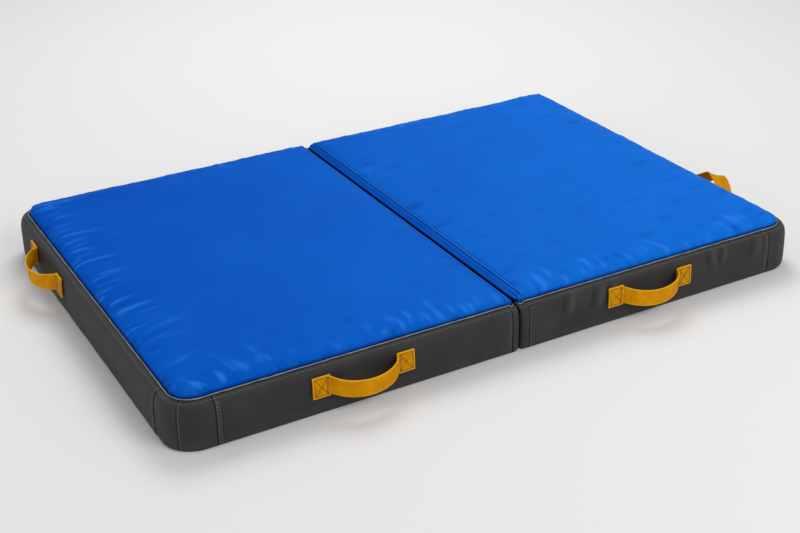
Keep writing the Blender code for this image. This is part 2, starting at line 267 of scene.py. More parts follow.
GREYS = (0.060, 0.060, 0.066), (0.030, 0.030, 0.033)
CREAMS = (0.800, 0.760, 0.600), (0.480, 0.430, 0.300)
closed_cell = foam_finish("closed_cell_foam_skin", *GREYS, 0.0012, 0.0002)
open_cell = foam_finish("open_cell_foam_cut", *CREAMS, 0.0022, 0.0008)
FOAM_LAYERS = {"base_foam_sheet": closed_cell, "foam_core": open_cell, "landing_foam_sheet": closed_cell}
SIDES = {"left": -1, "right": 1}
for label in SIDES:
    for layer, skin in FOAM_LAYERS.items():
        for slot in bpy.data.objects[f"{label}_{layer}"].material_slots:
            slot.material = skin

# The base: a heavy black woven fabric under the foam of each panel, cut to the plan of the walls'
# lower edge and sewn to them all round. It lies flat, with its edge turned up a little at the seam.

# The plan of the walls' top edge, and how far the walls' belly stands out from it
PANEL_NEAR = 0.0050
PANEL_FAR = 0.728
PANEL_HALF_DEPTH = 0.478
CORNER_RADIUS = 0.045
CORNER_SEAM = 0.066
HINGE_CORNER_RADIUS = 0.007
HINGE_SEAM = 0.016
TIGHTEST_RADIUS_SHARE = 0.3
BELLY = 0.022
HINGE_BELLY = 0.0030

# The plan is a ring of straights and quarter turns, numbered anticlockwise from the front wall's hinge end
RING_PARTS = 14
TURNS = {2: -1, 6: 0, 10: 1, 12: 2}
RUNS = {
    "front_wall": (0, 1),
    "front_corner": (1, 4),
    "end_wall": (4, 5),
    "back_corner": (5, 8),
    "back_wall": (8, 9),
    "hinge_wall": (9, 14),
}


def ring_place(where, swell=0.0, inset=0.0):
    """Points of the right panel's plan. Where is a number round it, whose whole part is the run:
    a straight or a quarter turn. Swell is the share of the belly, and inset moves the line inwards.
    """
    where, swell, inset = np.broadcast_arrays(np.asarray(where, float) % RING_PARTS, swell, inset)
    out = BELLY * swell - inset
    hinge_out = HINGE_BELLY * swell - inset
    radius = np.maximum(CORNER_RADIUS + out, CORNER_RADIUS * TIGHTEST_RADIUS_SHARE)
    tight = np.maximum(HINGE_CORNER_RADIUS + hinge_out, HINGE_CORNER_RADIUS * TIGHTEST_RADIUS_SHARE)
    near, far, half = PANEL_NEAR - hinge_out, PANEL_FAR + out, PANEL_HALF_DEPTH + out
    run = radius + CORNER_SEAM - CORNER_RADIUS
    hinge_run = near + tight + HINGE_SEAM - HINGE_CORNER_RADIUS
    xs = [hinge_run, far - run, far - radius, far, far, far, far, far - radius, far - run]
    xs += [hinge_run, near + tight, near, near, near + tight]
    ys = [-half, -half, -half, radius - half, run - half, half - run, half - radius, half, half]
    ys += [half, half, half - tight, tight - half, -half]
    part = np.minimum(where.astype(int), RING_PARTS - 1)
    after = (part + 1) % RING_PARTS
    share = where - part
    x = np.choose(part, xs) * (1 - share) + np.choose(after, xs) * share
    y = np.choose(part, ys) * (1 - share) + np.choose(after, ys) * share
    middles = (
        (far - radius, radius - half, radius),
        (far - radius, half - radius, radius),
        (near + tight, half - tight, tight),
        (near + tight, tight - half, tight),
    )
    for (turn, quarter), (middle_x, middle_y, reach) in zip(TURNS.items(), middles):
        angle = (quarter + share) * math.pi / 2
        x = np.where(part == turn, middle_x + reach * np.cos(angle), x)
        y = np.where(part == turn, middle_y + reach * np.sin(angle), y)
    return np.stack([x, y], axis=-1)


def ring_stations(first, last, pitch):
    """Numbers round the ring from first to last, about a pitch apart and closer in the turns."""
    found = []
    for part in range(first, last):
        steps = ring_place(np.linspace(part, part + 0.9999, 9), 1.0)
        length = np.linalg.norm(np.diff(steps, axis=0), axis=1).sum()
        turning = part % RING_PARTS in TURNS
        count = max(math.ceil(length / (pitch / 2 if turning else pitch)), 6 if turning else 1)
        found.append(part + np.arange(count) / count)
    return np.concatenate([*found, [last]])


def ring_outward(where, swell=0.0):
    """The direction that the plan faces, square to it."""
    after, before = ring_place(where + 0.002, swell), ring_place(where - 0.002, swell)
    along = after - before
    along /= np.maximum(np.linalg.norm(along, axis=-1, keepdims=True), 1e-12)
    return np.stack([along[..., 1], -along[..., 0]], axis=-1)


def through(*knots):
    """A smooth curve through knots, which never overshoots them."""
    x, y = np.array(knots, float).T
    step = np.diff(y) / np.diff(x)
    slope = np.concatenate([step[:1], np.zeros(len(x) - 2), step[-1:]])
    product = step[:-1] * step[1:]
    total = np.where(product > 0, step[:-1] + step[1:], 1.0)
    slope[1:-1] = np.where(product > 0, 2 * product / total, 0.0)

    def at(value):
        value = np.clip(np.asarray(value, float), x[0], x[-1])
        i = np.clip(np.searchsorted(x, value, side="right") - 1, 0, len(x) - 2)
        width = x[i + 1] - x[i]
        t = (value - x[i]) / width
        start = y[i] * (1 + 2 * t) * (1 - t) ** 2 + slope[i] * width * t * (1 - t) ** 2
        return start + y[i + 1] * t * t * (3 - 2 * t) + slope[i + 1] * width * t * t * (t - 1)

    return at


def waves(place, seed, length, count=7):
    """Smooth unevenness from about -1 to 1 over flat places, with waves of about that length."""
    dice = np.random.default_rng(seed)
    total = 0
    for _ in range(count):
        turn, phase = dice.uniform(0, 2 * math.pi, 2)
        pull = 2 * math.pi / (length * dice.uniform(0.7, 1.5))
        total = total + np.sin(place @ (np.array([math.cos(turn), math.sin(turn)]) * pull) + phase)
    return total / math.sqrt(count)


SHARP_EDGE = 0.9


def cloth_mesh(name, places, cut, material, mirrored=False, closed=False, **charts):
    """A sheet from rows of places, with its flat cut as a UV map. Rows go up, and points along. A
    closed one is a solid, whose rows go round it. Charts are further UV maps: how far each point is
    from the seams, and how it is folded.
    """
    rows, columns = places.shape[:2]
    index = np.arange(rows * columns).reshape(rows, columns)
    if closed:
        index = np.concatenate([index, index[:, :1]], axis=1)
    corners = np.stack([index[:-1, :-1], index[:-1, 1:], index[1:, 1:], index[1:, :-1]], axis=-1)
    faces = corners.reshape(-1, 4).tolist()
    if closed:
        faces += [index[0, :columns][::-1].tolist(), index[-1, :columns].tolist()]
    if mirrored:
        faces = [face[::-1] for face in faces]
    mesh = bpy.data.meshes.new(name)
    mesh.from_pydata(places.reshape(-1, 3).tolist(), [], faces)
    used = np.array([corner for face in faces for corner in face])
    for chart_name, values in (("cut", cut), *charts.items()):
        chart = mesh.uv_layers.new(name=chart_name)
        chart.uv.foreach_set("vector", values.reshape(-1, 2)[used].astype(np.float32).ravel())
    mesh.materials.append(material)
    mesh.shade_smooth()
    if closed:
        mesh.set_sharp_from_angle(angle=SHARP_EDGE)
    piece = bpy.data.objects.new(name, mesh)
    scene.collection.objects.link(piece)
    return piece


def choose(piece):
    """The piece alone is selected and active."""
    bpy.ops.object.select_all(action="DESELECT")
    piece.select_set(True)
    bpy.context.view_layer.objects.active = piece


def apply(piece, kind, **settings):
    """One modifier, set and applied."""
    choose(piece)
    modifier = piece.modifiers.new(kind.lower(), kind)
    for key, value in settings.items():
        setattr(modifier, key, value)
    bpy.ops.object.modifier_apply(modifier=modifier.name)


def fitted_cut(inset, flat_x, flat_y):
    """Flat places of a rectangle, with its corners drawn in to the plan's quarter turns."""
    low_x, high_x = PANEL_NEAR + inset, PANEL_FAR - inset
    half = PANEL_HALF_DEPTH - inset
    x = low_x + flat_x / (PANEL_FAR - PANEL_NEAR) * (high_x - low_x)
    y = flat_y / PANEL_HALF_DEPTH * half
    round_far = max(CORNER_RADIUS - inset, CORNER_RADIUS * TIGHTEST_RADIUS_SHARE)
    round_near = max(HINGE_CORNER_RADIUS - inset, HINGE_CORNER_RADIUS * TIGHTEST_RADIUS_SHARE)
    for sign, edge, radius in ((1, high_x, round_far), (-1, low_x, round_near)):
        a = sign * (x - (edge - sign * radius)) / radius
        b = (np.abs(y) - (half - radius)) / radius
        corner = (a > 0) & (b > 0)
        drawn_a = np.where(corner, a * np.sqrt(np.clip(1 - b * b / 2, 0, 1)), a)
        drawn_b = np.where(corner, b * np.sqrt(np.clip(1 - a * a / 2, 0, 1)), b)
        x = np.where(corner, edge - sign * radius + sign * radius * drawn_a, x)
        y = np.where(corner, np.sign(y) * (half - radius + radius * drawn_b), y)
    return x, y


SEAM_STEPS = (0.0, 0.0009, 0.002, 0.0034, 0.0052, 0.0075, 0.0105, 0.0145, 0.019)


def graded(reach, pitch, edges=SEAM_STEPS):
    """Places from 0 to reach, a pitch apart, and at both ends as far in as edges says."""
    edges = np.array(edges)
    count = math.ceil((reach - 2 * edges[-1]) / pitch)
    middle = np.linspace(edges[-1], reach - edges[-1], count + 1)
    return np.concatenate([edges[:-1], middle, reach - edges[-2::-1]])


BASE_THICKNESS = 0.0016
BASE_HEIGHT = 0.0022
BASE_INSET = 0.0026
FLOOR_SWELL = 0.80
base_fabric = Finish("base_fabric_weave", Specular_IOR_Level=0.4)
along, up = base_fabric.chart("cut")
dusty = base_fabric.mottle(0.09, 5.0)
base_weave = base_fabric.woven(along, up, 0.0016)
base_fabric.wear(
    base_fabric.mixed(
        base_fabric.between(dusty, 0.35, 0.75) * (0.7 + 0.3 * base_weave),
        (0.010, 0.010, 0.011),
        (0.026, 0.026, 0.027),
    ),
    0.56 + 0.16 * dusty,
    base_weave * 0.00012 + dusty * 0.0004,
)
PANEL_RUN = PANEL_FAR - PANEL_NEAR
for label, side in SIDES.items():
    flat_x, flat_y = np.meshgrid(
        graded(PANEL_RUN, 0.016, (0.0, 0.006)),
        graded(2 * PANEL_HALF_DEPTH, 0.016, (0.0, 0.006)) - PANEL_HALF_DEPTH,
    )
    x, y = fitted_cut(BASE_INSET - BELLY * FLOOR_SWELL, flat_x, flat_y)
    x = x + (BELLY - HINGE_BELLY) * FLOOR_SWELL * np.clip(1 - flat_x / 0.05, 0, 1)
    edge = np.minimum(np.minimum(flat_x, PANEL_RUN - flat_x), PANEL_HALF_DEPTH - np.abs(flat_y))
    uneven = 0.0003 * waves(np.stack([x, y], -1), 5 + side, 0.14)
    z = BASE_HEIGHT + uneven + 0.002 * np.exp(-edge / 0.003)
    piece = cloth_mesh(
        f"{label}_base_fabric",
        np.stack([side * x, y, z], -1) + MIDDLE,
        np.stack([flat_x, flat_y], -1),
        base_fabric.material,
        mirrored=side < 0,
    )
    apply(piece, "SOLIDIFY", thickness=BASE_THICKNESS, offset=-1)
    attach(piece, f"{label}_panel")
    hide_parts(f"{label}_base_cover")

# The walls: six pieces of charcoal coated fabric round each panel, pulled tight over the foam so that
# they belly out, and lapped and sewn to each other at upright seams. The two hinge walls stand nearly
# upright, a few millimetres apart.

WALL_TOP = 0.0992
WALL_THICKNESS = 0.0012
WALL_CUT_SHARE = 1.12
WALL_PITCH = 0.0055
RUN_END = 1e-4
STRAIGHT_RUNS = ("front_wall", "end_wall", "back_wall")
# How much of the belly there is at each share of the wall's height
swell_at = through(
    (0.00, 0.80), (0.04, 0.93), (0.12, 1.00), (0.45, 1.00), (0.70, 0.97),
    (0.85, 0.88), (0.93, 0.74), (0.975, 0.46), (1.00, 0.05),
)
# Folds of the front walls, where they were sat on: share along, width, lean, height share, depth
DENTS = {
    "left": ((0.30, 0.020, 0.02, 0.70, 0.0008), (0.66, 0.03, 0.01, 0.6, 0.0007)),
    "right": (
        (0.135, 0.009, 0.020, 0.76, 0.0020),
        (0.250, 0.010, 0.026, 0.72, 0.0023),
        (0.310, 0.007, 0.018, 0.80, 0.0017),
        (0.730, 0.008, -0.012, 0.78, 0.0019),
        (0.780, 0.007, 0.014, 0.80, 0.0018),
        (0.920, 0.010, 0.018, 0.74, 0.0018),
    ),
}


def hinge_dip(flat):
    """How far the top seam dips where it turns into the groove."""
    x, y = np.abs(flat[..., 0]), np.abs(flat[..., 1])
    outermost = np.clip((y - PANEL_HALF_DEPTH + 0.005) / 0.004, 0, 1)
    return 0.0042 * np.exp(-(((x - 0.0105) / 0.0044) ** 2)) * outermost


def wall_folds(label, run, along, length, share):
    """How far the folds of a wall go in, and beside them out, in metres."""
    total = np.zeros_like(along)
    for middle, width, lean, height, depth in DENTS[label] if run == "front_wall" else ():
        across = (along - middle * length - lean * (share - height)) / width
        upward = (share - height) / 0.26
        fold = np.exp(-(across**2)) - 0.8 * np.exp(-((across - 1.9) ** 2) / 1.4)
        total = total + depth * fold * np.exp(-(upward**2))
    return total


def wall_depth(label, run, along, length, share):
    """How far a point of a wall stands out from the smooth belly, in metres."""
    seed = 20 * list(RUNS).index(run) + 7 * SIDES[label] + 40
    flat = np.stack([along, share * WALL_TOP], -1)
    out = 0.0009 * waves(flat * (1, 0.5), seed, 0.16) + 0.00035 * waves(flat, seed + 1, 0.035)
    puckers = waves(flat * (1, 0.12), seed + 2, 0.016) * np.exp(-((1 - share) / 0.12))
    out = 0.6 * out + 0.0003 * puckers * np.sqrt(np.clip((1 - share) / 0.05, 0, 1))
    out = out - wall_folds(label, run, along, length, share)
    return out * np.clip(share / 0.06, 0, 1) * np.clip((1 - share) / 0.03, 0, 1)


def run_of(path):
    """How far along a path each of its points is, in metres."""
    return np.concatenate([[0], np.cumsum(np.linalg.norm(np.diff(path, axis=0), axis=1))])


def wall_place(label, run, where, share, lift=0.0):
    """Points on a wall's face, with its unevenness, and how far along it each is."""
    swell = swell_at(share)
    flat = ring_place(where, swell)
    steps = ring_stations(*RUNS[run], 0.01)
    lengths = run_of(ring_place(steps, 1.0))
    along = np.interp(where, steps, lengths)
    out = wall_depth(label, run, along, lengths[-1], share) + lift
    height = share * WALL_TOP - share**4 * hinge_dip(flat)
    flat = flat + ring_outward(where, swell) * out[..., None]
    place = np.concatenate([flat * (SIDES[label], 1), height[..., None]], axis=-1) + MIDDLE
    return place, along


def seam_distances(run, where, along):
    """How far each point is from the laps, minus on the lower layer, and from a corner's middle seam."""
    after, before = along - along.min(), along.max() - along
    if run in STRAIGHT_RUNS:
        # The laps are narrower beside the hinge
        after = after * (1.6 if run == "front_wall" else 1)
        before = before * (1.6 if run == "back_wall" else 1)
        return np.stack([np.minimum(after, before), np.ones_like(along)], -1)
    lap = -np.minimum(after, before)
    if run == "hinge_wall":
        return np.stack([lap, np.ones_like(along)], -1)
    middle = np.interp(sum(RUNS[run]) / 2, where[0], along[0])
    return np.stack([lap, along - middle], -1)


wall_fabric = Finish("wall_fabric_weave", Specular_IOR_Level=0.2)
along, up = wall_fabric.chart("cut")
wall_weave = wall_fabric.woven(along, up, 0.0013)
scuffed = wall_fabric.mottle(0.07, 5.0)
grained = wall_fabric.mottle(0.006, 2.0)
low_dust = 1 - wall_fabric.between(up, 0.0, 0.035)
lap, middle_seam = wall_fabric.chart("seam")
folded, _ = wall_fabric.chart("fold")
pressed_lap = wall_fabric.between(lap, 0.0002, 0.0010) * (1 - wall_fabric.between(lap, 0.0100, 0.0125))
# Painted shade along the laps' folds, beside the corners' middle seams and in the groove of the laps'
# stitch rows, where the seams are also sunk.
sunk_with_painted_shade = wall_fabric.line(lap, -0.0003, 0.0016).most(wall_fabric.line(middle_seam, 0.0010, 0.0017))
sunk_with_painted_shade = sunk_with_painted_shade.most(0.75 * wall_fabric.line(lap, 0.0108, 0.0013))
proud_with_painted_highlight = wall_fabric.line(middle_seam, -0.0018, 0.0022).most(0.6 * wall_fabric.line(lap, 0.0022, 0.0020))
charcoal = wall_fabric.mixed(
    wall_fabric.between(scuffed + 0.25 * low_dust + 0.12 * wall_weave, 0.30, 0.85),
    (0.025, 0.025, 0.026),
    (0.041, 0.041, 0.041),
)
# Painted highlight: the proud ridges of the seams, and a little of each pressed lap, are painted lighter.
charcoal = wall_fabric.mixed(0.55 * proud_with_painted_highlight + 0.12 * pressed_lap, charcoal, (0.100, 0.098, 0.095))
# Painted shade in the dents of the front walls, and painted highlights on the ridges beside them.
painted_dent_shade = 0.60 * wall_fabric.between(folded, 0.0003, 0.0018)
painted_dent_ridge_highlight = 0.45 * (1 - wall_fabric.between(folded, -0.0014, -0.0002))
charcoal = wall_fabric.mixed(painted_dent_shade, charcoal, (0.010, 0.010, 0.010))
charcoal = wall_fabric.mixed(painted_dent_ridge_highlight, charcoal, (0.075, 0.075, 0.074))
wall_fabric.wear(
    wall_fabric.mixed(sunk_with_painted_shade * 0.92, charcoal, (0.003, 0.003, 0.003)),
    0.52 + 0.2 * scuffed + 0.05 * grained,
    wall_weave * 0.00008 + grained * 0.00012 + pressed_lap * 0.0007 + proud_with_painted_highlight * 0.0005 - sunk_with_painted_shade * 0.0007,
)
WALL_SHARES = [0, 0.02, 0.045, *np.linspace(0.08, 0.88, 19), 0.91, 0.94, 0.965, 0.985, 1.0]
for label, side in SIDES.items():
    for run, (first, last) in RUNS.items():
        stations = np.clip(ring_stations(first, last, WALL_PITCH), first + RUN_END, last - RUN_END)
        where, share = np.meshgrid(stations, WALL_SHARES)
        places, along = wall_place(label, run, where, share)
        piece = cloth_mesh(
            f"{label}_{run}_fabric",
            places,
            np.stack([along, share * WALL_TOP * WALL_CUT_SHARE], -1),
            wall_fabric.material,
            mirrored=side < 0,
            # The seam map carries how far each point is from the laps and the middle seam, for the seams'
            # painted shade and highlights.
            seam=seam_distances(run, where, along),
            # The fold map carries the dents' depth, for their painted shade and highlights.
            fold=np.stack([wall_folds(label, run, along, along.max(), share), share], -1),
        )
        apply(piece, "SOLIDIFY", thickness=WALL_THICKNESS, offset=-1)
        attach(piece, f"{label}_panel")
        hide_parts(f"{label}_{run}")

# The landing faces: blue coated fabric over the landing foam, sewn in at the top seam with a little
# fullness, so that it crowns and draws soft puckers in from its edges. It is simulated as cloth.

SEAM_HEIGHT = 0.102
FACE_THICKNESS = 0.0009
FACE_PITCH = 0.0055
COVER_EDGE = 0.0014
CROWN = 0.0213
CROWN_RUN = 0.12
# The fabric starts this far below the seam's height, under the binding
TUCKED_UNDER = 0.0012
# Above this height the fabric is pressed flatter, as it is each time the pad is folded
FLATTENED_FROM = 0.1235
FLATTENED_SHARE = 0.6
# A pressed crease runs beside the groove, with a tuck on both sides of it
CREASE = 0.0125
TUCK = 0.0028
# How much of the crown there is at each share of the crown's run in from the seam
crown_at = through((0.00, 0.00), (0.04, 0.38), (0.10, 0.62), (0.22, 0.80), (0.50, 0.94), (1.00, 1.00))

face_fabric = Finish("landing_fabric_coated", Specular_IOR_Level=0.008)
spot = face_fabric.node("SeparateXYZ", values={0: face_fabric.place()})
face_weave = face_fabric.woven(spot, spot.beside("Y"), 0.0011)
cloudy = face_fabric.mottle(0.16)
fine = face_fabric.mottle(0.004, 2.0)
from_hinge, along_hinge = face_fabric.chart("cut")
raised, painted_groove_shade = face_fabric.chart("fold")
from_end = PANEL_HALF_DEPTH - along_hinge.maths("ABSOLUTE")
from_seam = from_hinge.maths("MINIMUM", PANEL_RUN - from_hinge).maths("MINIMUM", from_end)
# Painted light: the blue is painted lighter towards the right end and the front of the pad, and darker
# towards the far left end.
faded_and_painted_light = face_fabric.between(spot - 0.55 * spot.beside("Y"), -0.95, 1.05)
blue = face_fabric.mixed(
    0.85 * faded_and_painted_light + 0.15 * face_fabric.between(cloudy + 0.05 * face_weave, 0.3, 0.7),
    (0.0004, 0.080, 0.500),
    (0.0065, 0.166, 0.725),
)
# Painted highlights on the crests of the puckers, gathers and ripples, and painted shade at their feet.
painted_crest_highlight = 0.70 * face_fabric.between(raised, 0.0003, 0.0021)
painted_pucker_foot_shade = 0.50 * (1 - face_fabric.between(raised, -0.0010, -0.0001))
# A painted highlight along the pressed crease beside the groove, and painted shade in the tucks on both
# sides of it and along the rim where the face meets the binding.
painted_crease_highlight = 0.7 * face_fabric.line(from_hinge, CREASE, 0.0016)
painted_tuck_shade = face_fabric.line(from_hinge, CREASE - TUCK, 0.0017)
painted_tuck_shade = 0.75 * painted_tuck_shade.most(face_fabric.line(from_hinge, CREASE + TUCK, 0.0015))
shaded = painted_tuck_shade.most(0.8 * (1 - face_fabric.between(from_seam, 0.0004, 0.0040)))
for share, shade in (
    (painted_crest_highlight, (0.022, 0.220, 0.860)),
    (painted_pucker_foot_shade, (0.0004, 0.050, 0.350)),
    (painted_crease_highlight, (0.040, 0.240, 0.800)),
    (shaded, (0.0004, 0.012, 0.110)),
    (painted_groove_shade, (0.0003, 0.0016, 0.010)),
):
    blue = face_fabric.mixed(share, blue, shade)
face_fabric.wear(
    blue,
    0.46 + 0.10 * cloudy + 0.05 * fine,
    face_weave * 0.00004 + fine * 0.00005,
)


def pucker(flat, origin, heading, length, width, height):
    """A sharp ridge that starts near the seam, with a soft foot, and dies away along its heading."""
    away = flat - np.array(origin)
    heading = np.array(heading) / np.hypot(*heading)
    along = np.clip(away @ heading / length, 0, 1)
    curl = 0.10 * length * np.sin(origin[0] * 70 + origin[1] * 50)
    sideways = away @ np.array([-heading[1], heading[0]]) + curl * along**2
    off = sideways / (width * (0.85 + 0.85 * along))
    swell = along**0.2 * (1 - along) ** 1.2 * 1.45
    trough = 0.28 * np.exp(-(((off + 1.9) / 1.0) ** 2)) + 0.12 * np.exp(-(((off - 2.0) / 1.2) ** 2))
    return height * swell * (np.exp(-np.abs(off) ** 1.6) - trough)


def pucker_rows(side, dice):
    """Origins, headings and sizes of the puckers of one landing face, in the pad's own places."""
    far, near = side * (PANEL_FAR - 0.008), side * (PANEL_NEAR + 0.017)
    half = PANEL_HALF_DEPTH - 0.005
    end_sizes = {-1: (0.145, 0.0030), 1: (0.100, 0.0017)}
    edges = (
        # Start, end, heading, tilt, pitch, longest and tallest
        ((near, -half), (far, -half), (-0.16, 1.0), 0.16, 0.014, 0.095, 0.0030),
        ((near, half), (far, half), (0.10, -1.0), 0.20, 0.028, 0.085, 0.0022),
        ((far, -half), (far, half), (-side, -0.04), 0.10, 0.021, *end_sizes[side]),
        ((near, -half), (near, half), (side, 0.1), 0.35, 0.060, 0.050, 0.0010),
    )
    for start, end, heading, tilt, pitch, longest, tallest in edges:
        start, end = np.array(start), np.array(end)
        count = int(np.linalg.norm(end - start) / pitch)
        for i in range(count):
            place = start + (end - start) * (i + dice.uniform(0.0, 1.0)) / count
            from_corner = float(np.linalg.norm(place - (side * PANEL_FAR, -half)))
            bent = dice.normal(0, tilt) + 0.7 * math.exp(-from_corner / 0.16)
            way = (heading[0] - heading[1] * bent, heading[1] + heading[0] * bent)
            diagonal = math.exp(-((from_corner - 0.16) ** 2) / 0.006)
            length = longest * dice.uniform(0.35, 1.0) * (1 + 0.5 * diagonal)
            width, height = dice.uniform(0.0035, 0.0070), tallest * dice.uniform(0.2, 1.0)
            height = height * min(from_corner / 0.10, 1.0) * (1 - 0.35 * diagonal)
            yield place + np.array(way) * dice.uniform(0, 0.006), way, length, width, height
            if dice.uniform() < 0.35:
                aside = place + (end - start) / np.linalg.norm(end - start) * 0.012
                yield aside, way, length * 0.6, width * 0.8, height * 0.6


LAST_FRAME = 20
MOST_RISE = 0.0007
MOST_SINK = 0.0005
MOST_ASIDE = 0.004


def points_of(mesh):
    """Where a mesh's corners are."""
    places = np.empty(len(mesh.vertices) * 3)
    mesh.vertices.foreach_get("co", places)
    return places.reshape(-1, 3)


def settle(piece, sewn, full):
    """The fabric relaxes over its foam for twenty frames, with its sewn edge held, and is then
    kept close to where it was.
    """
    before = points_of(piece.data)
    for name, weights in (("sewn", sewn), ("full", full)):
        group = piece.vertex_groups.new(name=name)
        for i, weight in enumerate(weights):
            if weight > 0.01:
                group.add([i], float(weight), "REPLACE")
    modifier = piece.modifiers.new("cloth", "CLOTH")
    cloth = modifier.settings
    cloth.quality = 5
    cloth.mass = 0.25
    cloth.tension_stiffness = cloth.compression_stiffness = 18
    cloth.shear_stiffness = 8
    cloth.bending_stiffness = 0.35
    cloth.air_damping = 3
    cloth.effector_weights.gravity = 0
    cloth.vertex_group_mass = "sewn"
    cloth.vertex_group_shrink = "full"
    cloth.shrink_min = 0.0
    cloth.shrink_max = -0.035
    cloth.use_pressure = True
    cloth.uniform_pressure_force = 0.35
    modifier.collision_settings.use_collision = False
    modifier.point_cache.frame_start = 1
    modifier.point_cache.frame_end = LAST_FRAME
    for step in range(1, LAST_FRAME + 1):
        scene.frame_set(step)
    relaxed = piece.evaluated_get(bpy.context.evaluated_depsgraph_get()).to_mesh()
    moved = points_of(relaxed) - before
    piece.modifiers.remove(modifier)
    scene.frame_set(1)
    moved[:, 2] = np.clip(moved[:, 2], -MOST_SINK, MOST_RISE)
    moved[:, :2] = np.clip(moved[:, :2], -MOST_ASIDE, MOST_ASIDE)
    piece.data.vertices.foreach_set("co", (before + moved).ravel())
    piece.data.update()


# Closer steps over the crease and its tucks
CREASE_STEPS = (
    *(0.0, 0.0009, 0.002, 0.0034, 0.0052, 0.0074, 0.0088, 0.0098, 0.0108, 0.0118, 0.0125),
    *(0.0132, 0.0142, 0.0152, 0.0164, 0.0190),
)
for label, side in SIDES.items():
    dice = np.random.default_rng(31 + side)
    flat_x, flat_y = np.meshgrid(
        graded(PANEL_RUN, FACE_PITCH, CREASE_STEPS),
        graded(2 * PANEL_HALF_DEPTH, FACE_PITCH) - PANEL_HALF_DEPTH,
    )
    x, y = fitted_cut(COVER_EDGE, flat_x, flat_y)
    to_x = np.minimum(flat_x, PANEL_RUN - flat_x) + 1e-6
    to_y = PANEL_HALF_DEPTH - np.abs(flat_y) + 1e-6
    inward = (to_x**-4 + to_y**-4) ** -0.25
    flat = np.stack([side * x, y], -1)
    z = SEAM_HEIGHT - TUCKED_UNDER + (CROWN + TUCKED_UNDER) * crown_at(inward / CROWN_RUN)
    ridges = sum(pucker(flat, *row) for row in pucker_rows(side, dice)) * np.clip(inward / 0.006, 0, 1)
    # Gathers run square to the nearest edge
    from_side = waves(flat * (0.12, 1), 62 + side, 0.013)
    from_front = waves(flat * (1, 0.12), 72 + side, 0.013)
    gathers = np.where(to_x < to_y, from_side, from_front)
    gathers = gathers * np.clip(np.abs(to_x - to_y) / 0.03, 0, 1)
    gathers = 0.0008 * gathers * np.exp(-inward / 0.016) * np.clip((flat_x - 0.02) / 0.01, 0, 1)
    ripples = 0.0009 * waves(flat * (0.35, 1), 64 + side, 0.045) * np.clip(inward / 0.02, 0, 1)
    ripples = ripples * (np.exp(-inward / 0.10) + (0.25 if side < 0 else 0.55))
    ridges = ridges + gathers
    lift = ridges + ripples + 0.0003 * waves(flat, 60 + side, 0.22)
    z = z + np.where(lift < 0, 0.0007 * np.tanh(lift / 0.0014), lift)
    z = z - FLATTENED_SHARE * np.maximum(z - FLATTENED_FROM, 0)
    z = z + 0.0010 * np.exp(-(((flat_x - CREASE) / 0.0013) ** 2))
    z = z - 0.0007 * np.exp(-(((np.abs(flat_x - CREASE) - TUCK) / 0.0011) ** 2)) - hinge_dip(flat)
    piece = cloth_mesh(
        f"{label}_landing_fabric",
        np.concatenate([flat, z[..., None]], -1) + MIDDLE,
        np.stack([flat_x, flat_y], -1),
        face_fabric.material,
        mirrored=side < 0,
        # The fold map carries the height of the puckers, gathers and ripples, for the painted highlights
        # and shade of the finish.
        fold=np.stack([ridges + 0.6 * gathers + 0.4 * ripples, np.zeros_like(ridges)], -1),
    )
    held = ((inward < 0.003) | (flat_x < CREASE + 0.005)).ravel()
    fullness = np.clip(inward / 0.01, 0, 1) * np.clip(1.15 - inward / 0.11, 0, 1)
    fullness = fullness * np.clip((flat_x - 0.02) / 0.03, 0, 1)
    settle(piece, held.astype(float), fullness.ravel())
    apply(piece, "SUBSURF", levels=1, render_levels=1)
    apply(piece, "SOLIDIFY", thickness=FACE_THICKNESS, offset=-1)
    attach(piece, f"{label}_panel")
    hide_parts(f"{label}_landing_cover")

# The edge bindings: a narrow light grey tape folded over the raw edges of wall and landing face, round
# each top seam from one end of the groove to the other. It dips as it turns into the groove.

BINDING_HALF_WIDTH = 0.0010
BINDING_HALF_HEIGHT = 0.0013
BINDING_OUT = 0.0008
BINDING_BELOW_SEAM = 0.0015
BINDING_LEAN = 0.35


def carried(section, path, out, up):
    """A section carried along a path. Out and up are the section's axes at each point of it."""
    return path[:, None] + out[:, None] * section[None, :, :1] + up[:, None] * section[None, :, 1:]


binding_tape = Finish("binding_tape_weave", Specular_IOR_Level=0.2)
along, up = binding_tape.chart("cut")
rib = binding_tape.woven(along + up * 0.8, up - along * 0.8, 0.0011)
faded_and_painted_light = binding_tape.mottle(0.02, 4.0)
light = binding_tape.between(faded_and_painted_light + 0.08 * rib, 0.3, 0.75)
binding_tape.wear(
    binding_tape.mixed(light, (0.205, 0.209, 0.216), (0.400, 0.408, 0.425)),
    0.62 + 0.12 * faded_and_painted_light,
    rib * 0.00008,
)
angle = np.arange(10) * 2 * math.pi / 10
section = np.stack([BINDING_HALF_WIDTH * np.cos(angle), BINDING_HALF_HEIGHT * np.sin(angle)], -1)
